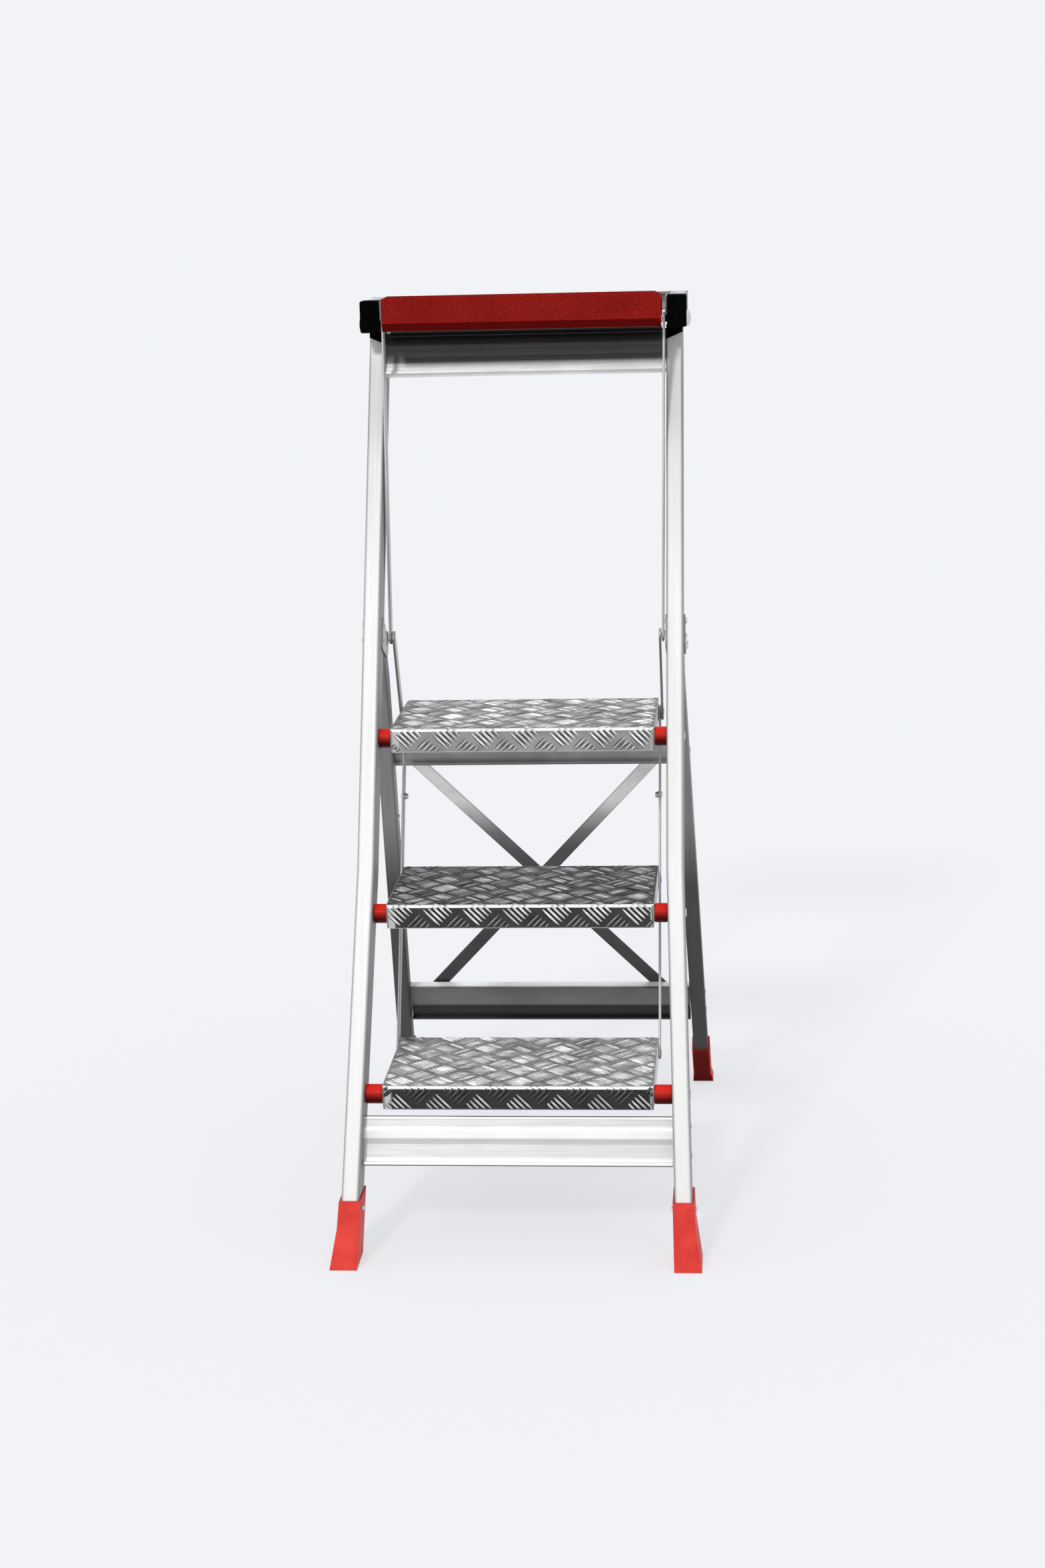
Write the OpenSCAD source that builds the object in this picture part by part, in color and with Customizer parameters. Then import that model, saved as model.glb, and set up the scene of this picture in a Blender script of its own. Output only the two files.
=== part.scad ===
// Folding step ladder with three treads, tool tray and braced rear frame.
// Millimetres, +Z up, +X to the right seen from the front, +Y towards the rear.

/* [Treads] */
// width of each tread
tread_width = 360; // [320:1:420]
// tread depth from front lip to rear lip
tread_depth = 215; // [180:1:230]
// height of the front lip
lip_height = 32; // [24:1:38]
// height of the rear lip
rear_lip_height = 26; // [20:1:30]
// depth of the side cheeks
cheek_height = 27; // [22:1:28]
// thickness of the tread plate
plate = 3; // [2:0.5:4]
// height of the first tread above the floor
first_rise = 215; // [200:1:240]
// height from one tread to the next
step_rise = 220; // [205:1:240]
// distance of the tread axle behind the lip and below the tread
axle_inset = 15; // [12:1:20]
// distance from the axle back to the link pin
link_reach = 177; // [150:1:185]
// radius of the tread axles
axle_r = 5; // [4:0.5:6]
// radius of the red spacer bushes
bush_r = 13; // [10:0.5:16]

/* [Front frame] */
// lean of the front frame from upright, in degrees
front_lean = 25; // [20:0.5:28]
// clear gap between a tread and a stile
side_gap = 16.5; // [16.5:0.1:24]
// width of a stile seen from the front
stile_width = 23; // [20:0.5:30]
// depth of a stile from front to rear
stile_depth = 48; // [44:0.5:60]
// wall thickness of stiles, legs and arms
wall = 2; // [1.5:0.25:3]
// height at which the stiles bend outward
kink_height = 480; // [440:5:560]
// outward splay of the stiles below the bend, in degrees
stile_splay = 1.35; // [0:0.05:2]
// height of the stile tops
stile_top = 1177; // [1120:1:1260]
// distance of the tread's front lip behind the stile's front face
tread_setback = 4; // [1:1:8]
// height of the crossbar profile
bar_height = 65; // [55:1:70]
// depth of the crossbar profile
bar_depth = 15; // [12:0.5:16]
// height of the lower front crossbar's bottom edge
low_bar_z = 117; // [105:1:118]
// height of the upper front crossbar profile
high_bar_height = 60; // [50:1:64]
// setback of the lower crossbar behind the stile's front face
low_bar_setback = 17; // [8:1:24]

/* [Rear frame] */
// distance between the front faces of stiles and rear legs at the floor
base_depth = 770; // [740:5:840]
// lean of the rear frame from upright, in degrees
rear_lean = 26; // [24:0.5:28]
// width of a rear leg
leg_width = 22; // [20:0.5:22]
// depth of a rear leg
leg_depth = 30; // [26:0.5:34]
// distance along the leg from the rear hinge down to the bend
leg_kink_drop = 58; // [36:2:120]
// outward splay of the rear legs, in degrees
leg_splay = 1.78; // [0:0.02:2.2]
// radius of the rear hinge pins
hinge_r = 5; // [4:0.5:6]
// distance of the upper rear crossbar's bottom edge above the floor
rear_high_bar_z = 562; // [520:1:564]
// height of the upper rear crossbar profile
rear_high_bar_height = 36; // [28:1:38]
// distance of the lower rear crossbar's bottom edge above the floor
rear_low_bar_z = 112; // [90:1:160]
// width of the crossed braces
brace_width = 19; // [16:1:28]
// thickness of the crossed braces
brace_thick = 3; // [2:0.5:4]

/* [Links and stays] */
// width of the link bars, hangers and stays
flat_width = 18; // [14:1:20]
// thickness of the link bars, hangers and stays
flat_thick = 3; // [2.5:0.25:3]
// thickness of the hinge plates
hinge_plate = 2; // [1.5:0.25:2]
// distance of the bracket pin behind the rear hinge pin
ear_reach = 13; // [8:0.5:15]
// height of the bracket pin above the rear hinge pin
ear_rise = 12; // [8:0.5:14]
// radius of the link and bracket pins
pin_r = 4; // [3:0.5:4.5]

/* [Top frame] */
// length of the top arms
arm_length = 140; // [120:1:170]
// overhang of the top arms in front of the stile
arm_overhang = 52; // [44:1:60]
// width of a top arm
arm_width = 25; // [22:0.5:28]
// height of a top arm
arm_height = 42; // [36:0.5:50]
// distance of the tray front ahead of the arm front
tray_lead = 32; // [24:1:40]
// depth of the tray from its front face
tray_depth = 142; // [120:1:150]
// height of the tray's front lip
tray_lip = 48; // [40:1:60]
// height of the tray's side and rear walls
tray_wall_height = 34; // [24:1:38]
// wall thickness of the tray
tray_wall = 3; // [2:0.5:4]
// radius of the tray bolts
bolt_r = 4; // [3:0.5:5]

/* [Feet] */
// height of the front feet
front_foot_height = 80; // [60:1:95]
// height of the rear feet along the leg
rear_foot_height = 65; // [50:1:80]
// wall thickness of the feet
foot_wall = 2.5; // [2:0.25:4]
// outward flare of the front feet at the floor
foot_flare = 8; // [2:0.5:14]
// thickness of the soles
sole = 6; // [4:0.5:9]

/* [Hidden] */
// clearances
fit = 0.05;
gap = 0.3;
free = 0.4;
r_round = 3;
corner_r = 5;
big = 2000;
// inclined directions
tf = tan(front_lean);
cf = cos(front_lean);
tr = tan(rear_lean);
cr = cos(rear_lean);
// stile and leg sections measured level
stile_level = stile_depth / cf;
leg_level = leg_depth / cr;
// sideways positions
half = tread_width / 2;
stile_in = half + side_gap;
stile_out = stile_in + stile_width;
stile_mid = stile_in + stile_width / 2;
kink_u = kink_height / cf;
splay_t = tan(stile_splay);
leg_splay_t = tan(leg_splay);
// sideways stack beside the treads
link_x = half + free;
hanger_x = link_x + flat_thick + 0.7;
plate_x = stile_in - fit - hinge_plate;
stay_low_x = hanger_x + flat_thick + 1.4;
stay_top_x = stile_in - gap - flat_thick;
// rear hinge, clear of the stile by the leg cap
cap_thick = 2;
hinge_off = leg_depth / 2 + cap_thick + 0.5;
hinge_z = (base_depth + leg_level / 2 - stile_level - hinge_off / cf) / (tf + tr);
hinge_y = base_depth + leg_level / 2 - tr * hinge_z;
hinge_u = (base_depth - hinge_y) * sin(rear_lean) + hinge_z * cr;
leg_kink_u = hinge_u - leg_kink_drop;
ear_y = hinge_y + ear_reach;
ear_z = hinge_z + ear_rise;
// tread axles and link pins
function axle_z(i) = first_rise + i * step_rise - axle_inset;
function axle_y(i) = (axle_z(i) + axle_inset) * tf + tread_setback + axle_inset;
function pin_y(i) = axle_y(i) + link_reach;
function axle_u(i) = axle_y(i) * sin(front_lean) + axle_z(i) * cf;
// inner face of a stile at a distance along it
function stile_face(u) = stile_in + max(0, kink_u - u) * splay_t;
function leg_face(u) = stile_mid - leg_width / 2 + max(0, leg_kink_u - u) * leg_splay_t;
// top frame
stile_top_y = stile_top * tf;
arm_z = stile_top + cap_thick;
arm_front = stile_top_y - arm_overhang;
arm_in = stile_mid + 4.5 - arm_width / 2;
arm_cap = 1;
bolt_y = arm_front + 5;
bolt_z = arm_z + 11;
tray_half = stay_top_x - 3 * free;
tray_body = tray_half - 2.6;
tray_z = arm_z + 2;
tray_front = arm_front - tray_lead;
strip_x = stay_top_x + flat_thick + gap;
strip_z = bolt_z + bolt_r + 1;
// crossbars along the stiles
high_bar_setback = 2;
high_bar_u = (stile_top - 2) / cf - high_bar_height;
low_bar_u = (low_bar_z + low_bar_setback * sin(front_lean)) / cf;
bar_top_u = high_bar_u + high_bar_height;
bar_top_y = high_bar_setback * cf + bar_top_u * sin(front_lean);
bar_top_z = bar_top_u * cf - high_bar_setback * sin(front_lean);
// rivets
shank_r = 2.5;
lift = 0.15;
bar_rivet_u = [low_bar_u + 14, low_bar_u + bar_height - 12];
bar_rivet_v = low_bar_setback + bar_depth / 2;
plate_rivet_z = [hinge_z + 17, hinge_z + 37];
function plate_rivet_y(z) = z * tf + stile_level * 0.62;
foot_rivet_z = front_foot_height - 16;
foot_rivet_y = foot_rivet_z * tf + stile_level * 0.5;
arm_rivet_y = stile_top_y + stile_level * 0.55;
rear_bar_v = leg_depth - bar_depth - brace_thick;
rear_high_u = (rear_high_bar_z - rear_bar_v * sin(rear_lean)) / cr;
rear_low_u = (rear_low_bar_z - rear_bar_v * sin(rear_lean)) / cr;
leg_rivet_v = rear_bar_v + bar_depth / 2;
leg_rivet_u = [rear_high_u + rear_high_bar_height / 2, rear_low_u + 14, rear_low_u + bar_height - 14];
inner_rivet_u = rear_high_u - 96;
rear_foot_rivet_u = rear_foot_height - 13;
// floor extent, to bring the base to the middle
foot_front = 4;
rear_foot_back = base_depth + (leg_depth + foot_wall) / cr;
y_mid = (rear_foot_back - foot_front) / 2;

// colours
alu = [0.80, 0.81, 0.82];
alu_dark = [0.55, 0.56, 0.58];
red = [0.82, 0.13, 0.10];
black = [0.04, 0.04, 0.045];
steel = [0.72, 0.73, 0.74];

// ---------- placing ----------
module base() { translate([0, -y_mid, 0]) children(); }
module right() { children(); }
module left() { mirror([1, 0, 0]) children(); }
module both() { right() children(); left() children(); }
module front_plane() { rotate([-front_lean, 0, 0]) children(); }
module rear_plane() { translate([0, base_depth, 0]) rotate([rear_lean, 0, 0]) children(); }
// a cylinder along X, from x0 to x1
module rod(x0, x1, y, z, r, n = 32) {
    translate([x0, y, z]) rotate([0, 90, 0]) cylinder(r = r, h = x1 - x0, $fn = n);
}
// a rivet head on an outward face at x, domed
module head(x, y, z, r, h) {
    translate([x, y, z]) rotate([0, 90, 0]) cylinder(r1 = r, r2 = r * 0.62, h = h, $fn = 24);
}
module inward_head(x, y, z, r, h) {
    translate([x, y, z]) rotate([0, -90, 0]) cylinder(r1 = r, r2 = r * 0.62, h = h, $fn = 24);
}
module slab(x0, x1, y0, y1, z0, z1) {
    translate([x0, y0, z0]) cube([x1 - x0, y1 - y0, z1 - z0]);
}

// ---------- sections ----------
module box_section(w, d, r) {
    translate([r, r]) offset(r = r, $fn = 16) square([w - 2 * r, d - 2 * r]);
}
module tube_section(w, d) {
    difference() {
        box_section(w, d, r_round);
        translate([wall, wall]) square([w - 2 * wall, d - 2 * wall]);
    }
}
// crossbar section: x is depth, y is height; bead, flat, slant, recess, bead
module bar_section(bar_height) {
    step = bar_depth * 0.3;
    t = 2;
    low = bar_height * 0.43;
    mid = bar_height * 0.70;
    difference() {
        polygon([
            [0, 0], [0, 4], [step, 5], [step, low], [0.6, mid], [0.6, bar_height - 5],
            [0, bar_height - 4.5], [0, bar_height], [bar_depth, bar_height], [bar_depth, bar_height - 9],
            [bar_depth - t, bar_height - 9], [bar_depth - t, bar_height - t - 0.2],
            [bar_depth - t, 9], [bar_depth, 9], [bar_depth, 0]
        ]);
        polygon([
            [t + step, t], [t + step, low + 0.6], [t + 0.8, mid + 0.6], [t + 0.8, bar_height - t],
            [bar_depth - t, bar_height - t], [bar_depth - t, t]
        ]);
        translate([bar_depth - t - 1, 9]) square([t + 2, bar_height - 18]);
    }
}
// the section run along X between two ends
module crossbar(x_end, h) {
    translate([-x_end, 0, 0]) rotate([90, 0, 90]) linear_extrude(2 * x_end) bar_section(h);
}

// ---------- front frame ----------
// stile as a straight run with a sheared lower run; grow widens it for the parts that hold it
module stile_solid(grow = 0) {
    low = [[1, 0, -splay_t, splay_t * kink_u], [0, 1, 0, 0], [0, 0, 1, 0]];
    w = stile_width + 2 * grow;
    d = stile_depth + 2 * grow;
    front_plane() {
        translate([stile_in - grow, -grow, kink_u]) linear_extrude(big) box_section(w, d, r_round);
        multmatrix(low) translate([stile_in - grow, -grow, -60])
            linear_extrude(kink_u + 60) box_section(w, d, r_round);
    }
}
module stile_tube() {
    low = [[1, 0, -splay_t, splay_t * kink_u], [0, 1, 0, 0], [0, 0, 1, 0]];
    difference() {
        front_plane() {
            translate([stile_in, 0, kink_u]) linear_extrude(stile_top / cf + 60 - kink_u)
                tube_section(stile_width, stile_depth);
            multmatrix(low) translate([stile_in, 0, -60])
                linear_extrude(kink_u + 60) tube_section(stile_width, stile_depth);
        }
        slab(0, 400, -big, big, -200, sole);
        slab(0, 400, -big, big, stile_top, stile_top + 300);
        for (i = [0:2]) rod(stile_in - 20, stile_out + 40, axle_y(i), axle_z(i), axle_r + fit);
        for (u = bar_rivet_u) front_plane()
            rod(stile_face(u) + stile_width / 2, stile_out + 40, bar_rivet_v, u, shank_r + fit);
        for (z = plate_rivet_z) rod(stile_in - 5, stile_out + 5, plate_rivet_y(z), z, shank_r + fit);
        rod(stile_in - 20, stile_out + 40, foot_rivet_y, foot_rivet_z, shank_r + fit);
    }
}
module stile_left() { color(alu) base() left() stile_tube(); }
module stile_right() { color(alu) base() right() stile_tube(); }

// upper crossbar closes the frame just below the tray
module front_bar(u, v, h) {
    front_plane() translate([0, v, u]) crossbar(stile_face(u + h) - fit, h);
}
module front_crossbar_low() { color(alu) base() front_bar(low_bar_u, low_bar_setback, bar_height); }
module front_crossbar_high() { color(alu) base() front_bar(high_bar_u, high_bar_setback, high_bar_height); }
// headed rivet through one wall, standing on the outward face at x
module rivet(x, y, z, grip) {
    rod(x - grip, x + 0.5, y, z, shank_r, 24);
    head(x + lift, y, z, 4.5, 1.4);
}
module frame_rivets() {
    color(steel) base() both() {
        for (u = bar_rivet_u) front_plane()
            rivet(stile_face(u) + stile_width, bar_rivet_v, u, wall);
        translate([stile_mid, arm_rivet_y, arm_z + arm_height]) rotate([0, -90, 0]) rivet(0, 0, 0, wall);
    }
}

// ---------- axles and bushes ----------
module axle(i) {
    x = stile_face(axle_u(i)) + stile_width;
    base() rod(-x, x, axle_y(i), axle_z(i), axle_r);
    base() both() {
        head(x + lift, axle_y(i), axle_z(i), axle_r + 2, 1.6);
        rod(x - 1, x + 0.6, axle_y(i), axle_z(i), axle_r);
    }
}
module axle_bottom() { color(steel) axle(0); }
module axle_middle() { color(steel) axle(1); }
module axle_top() { color(steel) axle(2); }
module bush(i) {
    x0 = half + gap;
    x1 = stile_face(axle_u(i) + bush_r) - fit;
    difference() {
        union() {
            rod(x0, x1, axle_y(i), axle_z(i), bush_r - 0.8, 48);
            rod(x0 + 0.8, x1 - 0.8, axle_y(i), axle_z(i), bush_r, 48);
        }
        rod(x0 - 1, x1 + 1, axle_y(i), axle_z(i), axle_r + fit);
    }
}
module bushes_bottom() { color(red) base() both() bush(0); }
module bushes_middle() { color(red) base() both() bush(1); }
module bushes_top() { color(red) base() both() bush(2); }

// ---------- treads ----------
// folded plate seen from the side: front lip, tread, rear lip
module tread_profile() {
    difference() {
        hull() {
            translate([4, -4]) circle(r = 4, $fn = 32);
            translate([tread_depth - 4, -4]) circle(r = 4, $fn = 32);
            translate([0, -lip_height]) square([plate, 1]);
            translate([tread_depth - plate, -lip_height]) square([plate, 1]);
        }
        translate([plate, -lip_height - 1]) square([tread_depth - 2 * plate, lip_height + 1 - plate]);
        translate([tread_depth - plate - 1, -lip_height - 1])
            square([plate + 2, lip_height + 1 - rear_lip_height]);
    }
}
module tread(i) {
    y0 = axle_y(i) - axle_inset;
    z0 = axle_z(i) + axle_inset;
    base() difference() {
        intersection() {
            union() {
                translate([-half, y0, z0]) rotate([90, 0, 90]) linear_extrude(tread_width) tread_profile();
                both() slab(half - plate, half, y0 + 1, y0 + tread_depth - 1, z0 - cheek_height, z0 - 2);
            }
            translate([-half, y0, z0 - lip_height - 1]) linear_extrude(lip_height + 2)
                box_section(tread_width, tread_depth, corner_r);
        }
        both() {
            rod(half - plate - 1, half + 1, axle_y(i), axle_z(i), axle_r + fit);
            rod(half - plate - 1, half + 1, pin_y(i), axle_z(i), pin_r + fit);
        }
    }
}
module tread_bottom() { color(alu) tread(0); }
module tread_middle() { color(alu) tread(1); }
module tread_top() { color(alu) tread(2); }

// ---------- link bars, pins and hangers ----------
module link_pin(i, x1) {
    rod(half - plate - 0.5, x1 + 0.5, pin_y(i), axle_z(i), pin_r);
    inward_head(half - plate - 0.1, pin_y(i), axle_z(i), pin_r + 2.5, 2);
    head(x1 + 0.2, pin_y(i), axle_z(i), pin_r + 1.5, 0.8);
}
module link_pins_bottom() { color(steel) base() both() link_pin(0, link_x + flat_thick); }
module link_pins_middle() { color(steel) base() both() link_pin(1, link_x + flat_thick); }
module link_pins_top() { color(steel) base() both() link_pin(2, hanger_x + flat_thick); }
// flat bar with round ends
module flat_run(x, ya, za, yb, zb, w, t) {
    translate([x, 0, 0]) rotate([90, 0, 90]) linear_extrude(t) hull() {
        translate([ya, za]) circle(r = w / 2, $fn = 32);
        translate([yb, zb]) circle(r = w / 2, $fn = 32);
    }
}
// the link runs beside the treads, from the lowest pin to the highest
link_bolt_z = axle_z(2) - step_rise / 2;
link_bolt_y = pin_y(2) - step_rise / 2 * tf;
module link_bar() {
    difference() {
        flat_run(link_x, pin_y(0), axle_z(0), pin_y(2), axle_z(2), flat_width, flat_thick);
        for (i = [0:2]) rod(link_x - 1, link_x + flat_thick + 1, pin_y(i), axle_z(i), pin_r + fit);
        rod(link_x - 1, link_x + flat_thick + 1, link_bolt_y, link_bolt_z, shank_r + fit);
    }
}
module link_left() { color(alu) base() left() link_bar(); }
module link_right() { color(alu) base() right() link_bar(); }
module link_bolts() {
    color(steel) base() both() {
        rod(link_x - 0.5, link_x + flat_thick + 0.5, link_bolt_y, link_bolt_z, shank_r, 24);
        head(link_x + flat_thick + fit, link_bolt_y, link_bolt_z, 5, 2);
        inward_head(link_x - fit, link_bolt_y, link_bolt_z, 5.5, 5);
    }
}
// hanger: eye on the bracket pin, open seat under the highest link pin
module hanger() {
    py = pin_y(2);
    pz = axle_z(2);
    translate([hanger_x, 0, 0]) rotate([90, 0, 90]) linear_extrude(flat_thick) difference() {
        union() {
            hull() {
                translate([ear_y, ear_z]) circle(r = flat_width / 2, $fn = 32);
                translate([py - 11, pz + 1]) circle(r = flat_width / 2, $fn = 32);
            }
            hull() {
                translate([py - 9, pz - 6.2]) circle(r = 4.5, $fn = 32);
                translate([py + 7.5, pz - 6.5]) circle(r = 4, $fn = 32);
            }
            hull() {
                translate([py + 7.8, pz - 6.5]) circle(r = 3.7, $fn = 32);
                translate([py + 8.6, pz]) circle(r = 2.5, $fn = 32);
            }
        }
        translate([ear_y, ear_z]) circle(r = pin_r + fit, $fn = 32);
        hull() {
            translate([py, pz]) circle(r = pin_r + fit, $fn = 32);
            translate([py + 0.8, pz + 16]) circle(r = pin_r + fit, $fn = 32);
        }
    }
}
module hanger_left() { color(alu) base() left() hanger(); }
module hanger_right() { color(alu) base() right() hanger(); }

// ---------- stays ----------
// flat bar that slants outward to the arm, so that it clears the pins below
module stay() {
    slant = (stay_top_x - stay_low_x) / (bolt_z - ear_z);
    shear = [[1, 0, slant, stay_low_x - slant * ear_z], [0, 1, 0, 0], [0, 0, 1, 0]];
    difference() {
        multmatrix(shear) flat_run(0, ear_y, ear_z, bolt_y, bolt_z, flat_width, flat_thick);
        rod(half, stile_in, ear_y, ear_z, pin_r + fit);
        rod(half, stile_in, bolt_y, bolt_z, bolt_r + fit);
    }
}
module stay_left() { color(alu) base() left() stay(); }
module stay_right() { color(alu) base() right() stay(); }

// ---------- hinge brackets ----------
outer_x = stile_out + fit;
module plate_outline(ear) {
    hull() {
        translate([hinge_y, hinge_z]) circle(r = 13, $fn = 32);
        translate([plate_rivet_y(plate_rivet_z[1]), plate_rivet_z[1]]) circle(r = 9, $fn = 32);
        translate([plate_rivet_y(plate_rivet_z[0]) - 4, plate_rivet_z[0] - 6]) circle(r = 9, $fn = 32);
    }
    if (ear) hull() {
        translate([hinge_y, hinge_z]) circle(r = 13, $fn = 32);
        translate([ear_y, ear_z]) circle(r = 9, $fn = 32);
    }
}
module hinge_plate_at(x, ear) {
    difference() {
        translate([x, 0, 0]) rotate([90, 0, 90]) linear_extrude(hinge_plate) plate_outline(ear);
        rod(x - 1, x + hinge_plate + 1, hinge_y, hinge_z, hinge_r + fit);
        for (z = plate_rivet_z) rod(x - 1, x + hinge_plate + 1, plate_rivet_y(z), z, shank_r + fit);
        if (ear) rod(x - 1, x + hinge_plate + 1, ear_y, ear_z, pin_r + fit);
    }
}
module hinge_plate_outer_left() { color(alu) base() left() hinge_plate_at(outer_x, false); }
module hinge_plate_outer_right() { color(alu) base() right() hinge_plate_at(outer_x, false); }
module hinge_plate_inner_left() { color(alu) base() left() hinge_plate_at(plate_x, true); }
module hinge_plate_inner_right() { color(alu) base() right() hinge_plate_at(plate_x, true); }
module hinge_plate_rivets() {
    color(steel) base() both() for (z = plate_rivet_z) {
        y = plate_rivet_y(z);
        rod(plate_x - 0.4, outer_x + hinge_plate + 0.5, y, z, shank_r, 24);
        head(outer_x + hinge_plate + fit, y, z, 5, 2.6);
        inward_head(plate_x - fit, y, z, 4.5, 1.2);
    }
}
// rear hinge pin, flush on the inner plate
module hinge_pin() {
    rod(plate_x, outer_x + hinge_plate + 0.5, hinge_y, hinge_z, hinge_r);
    head(outer_x + hinge_plate + fit, hinge_y, hinge_z, hinge_r + 3, 3);
}
module hinge_pins() { color(steel) base() both() hinge_pin(); }
// bracket pin carries hanger and stay, flush on the plate's outer side
module bracket_pin() {
    rod(hanger_x - 0.3, plate_x + hinge_plate, ear_y, ear_z, pin_r);
    rod(stay_low_x + flat_thick + 0.4, plate_x - 0.2, ear_y, ear_z, pin_r + 2);
}
module bracket_pins() { color(steel) base() both() bracket_pin(); }

// ---------- rear frame ----------
module leg_solid(grow = 0) {
    low = [[1, 0, -leg_splay_t, leg_splay_t * leg_kink_u], [0, 1, 0, 0], [0, 0, 1, 0]];
    x = stile_mid - leg_width / 2 - grow;
    w = leg_width + 2 * grow;
    d = leg_depth + 2 * grow;
    rear_plane() multmatrix(low) translate([x, -grow, -60]) linear_extrude(leg_kink_u + 60)
        box_section(w, d, r_round);
}
module rounded_end(x, t) {
    intersection() {
        rod(x, x + t, leg_depth / 2, 1, leg_depth / 2, 64);
        slab(x - 1, x + t + 1, 0, leg_depth, 0, leg_depth);
    }
}
module leg_tube() {
    low = [[1, 0, -leg_splay_t, leg_splay_t * leg_kink_u], [0, 1, 0, 0], [0, 0, 1, 0]];
    x = stile_mid - leg_width / 2;
    difference() {
        rear_plane() {
            multmatrix(low) translate([x, 0, -60]) linear_extrude(leg_kink_u + 60)
                tube_section(leg_width, leg_depth);
            translate([x, 0, leg_kink_u]) linear_extrude(hinge_u - leg_kink_u)
                tube_section(leg_width, leg_depth);
            // walls rounded over the hinge
            for (side = [x, x + leg_width - wall]) translate([0, 0, hinge_u - 1])
                rounded_end(side, wall);
        }
        slab(0, 400, -big, big, -200, sole);
        rod(x - 1, x + leg_width + 1, hinge_y, hinge_z, hinge_r + fit);
        rear_plane() {
            for (u = leg_rivet_u) rod(leg_face(u) + leg_width / 2, 500, leg_rivet_v, u, shank_r + fit);
            rod(0, leg_face(inner_rivet_u) + 8, leg_depth / 2, inner_rivet_u, shank_r + fit);
            rod(leg_face(0) + 8, 500, leg_depth / 2, rear_foot_rivet_u, shank_r + fit);
        }
    }
}
module rear_leg_left() { color(alu_dark) base() left() leg_tube(); }
module rear_leg_right() { color(alu_dark) base() right() leg_tube(); }
// cap round the leg's top, with a plug inside the tube
module leg_cap() {
    x = stile_mid - leg_width / 2 + gap;
    w = leg_width - 2 * gap;
    rear_plane() difference() {
        rod(x, x + w, leg_depth / 2, hinge_u, leg_depth / 2 + cap_thick, 64);
        rod(x - 1, x + w + 1, leg_depth / 2, hinge_u, leg_depth / 2 + fit, 64);
        slab(x - 1, x + w + 1, -20, leg_depth + 20, hinge_u - 40, hinge_u + 1);
    }
}
module leg_cap_left() { color(black) base() left() leg_cap(); }
module leg_cap_right() { color(black) base() right() leg_cap(); }

module rear_bar(u, h) {
    rear_plane() translate([0, rear_bar_v, u]) crossbar(leg_face(u + h) - fit, h);
}
module rear_crossbar_high() { color(alu_dark) base() rear_bar(rear_high_u, rear_high_bar_height); }
module rear_crossbar_low() { color(alu_dark) base() rear_bar(rear_low_u, bar_height); }
// braces cross between the two crossbars, one behind the other
brace_v = rear_bar_v + bar_depth + fit;
brace_top_u = rear_high_u + rear_high_bar_height / 2;
brace_low_u = rear_low_u + bar_height / 2;
brace_top_x = leg_face(brace_top_u) - brace_width / 2 - 2.5;
brace_low_x = leg_face(brace_low_u) - brace_width / 2 - 16;
brace_step = brace_thick + fit;
cross_u = brace_top_u - (brace_top_u - brace_low_u) * brace_top_x / (brace_top_x + brace_low_x);
module brace(v, s) {
    rear_plane() difference() {
        translate([0, v + brace_thick, 0]) rotate([90, 0, 0]) linear_extrude(brace_thick) hull() {
            translate([-s * brace_top_x, brace_top_u]) circle(r = brace_width / 2, $fn = 32);
            translate([s * brace_low_x, brace_low_u]) circle(r = brace_width / 2, $fn = 32);
        }
        brace_bore(-s * brace_top_x, brace_top_u, v);
        brace_bore(s * brace_low_x, brace_low_u, v);
        brace_bore(0, cross_u, v);
    }
}
module brace_bore(x, u, v) {
    translate([x, v - 1, u]) rotate([-90, 0, 0]) cylinder(r = shank_r + fit, h = brace_thick + 2, $fn = 24);
}
module brace_front() { color(alu_dark) base() brace(brace_v, 1); }
module brace_rear() { color(alu_dark) base() brace(brace_v + brace_step, -1); }
// rivets: leg sides, brace ends and the crossing
module back_rivet(x, u, v, grip) {
    rear_plane() translate([x, v, u]) rotate([-90, 0, 0]) {
        translate([0, 0, -grip]) cylinder(r = shank_r, h = grip + 0.5, $fn = 24);
        translate([0, 0, fit]) cylinder(r1 = 5, r2 = 3.2, h = 2.4, $fn = 24);
    }
}
module rear_rivets() {
    back_v = brace_v + brace_thick;
    color(steel) base() {
        both() rear_plane() {
            for (u = leg_rivet_u) rivet(leg_face(u) + leg_width, leg_rivet_v, u, wall);
            rod(leg_face(inner_rivet_u) - 0.5, leg_face(inner_rivet_u) + wall, leg_depth / 2,
                inner_rivet_u, shank_r, 24);
            inward_head(leg_face(inner_rivet_u) - lift, leg_depth / 2, inner_rivet_u, 5, 3);
        }
        back_rivet(-brace_top_x, brace_top_u, back_v, brace_thick);
        back_rivet(brace_low_x, brace_low_u, back_v, brace_thick);
        back_rivet(brace_top_x, brace_top_u, back_v + brace_step, brace_thick);
        back_rivet(-brace_low_x, brace_low_u, back_v + brace_step, brace_thick);
        back_rivet(0, cross_u, back_v + brace_step, 2 * brace_thick);
    }
}

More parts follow.
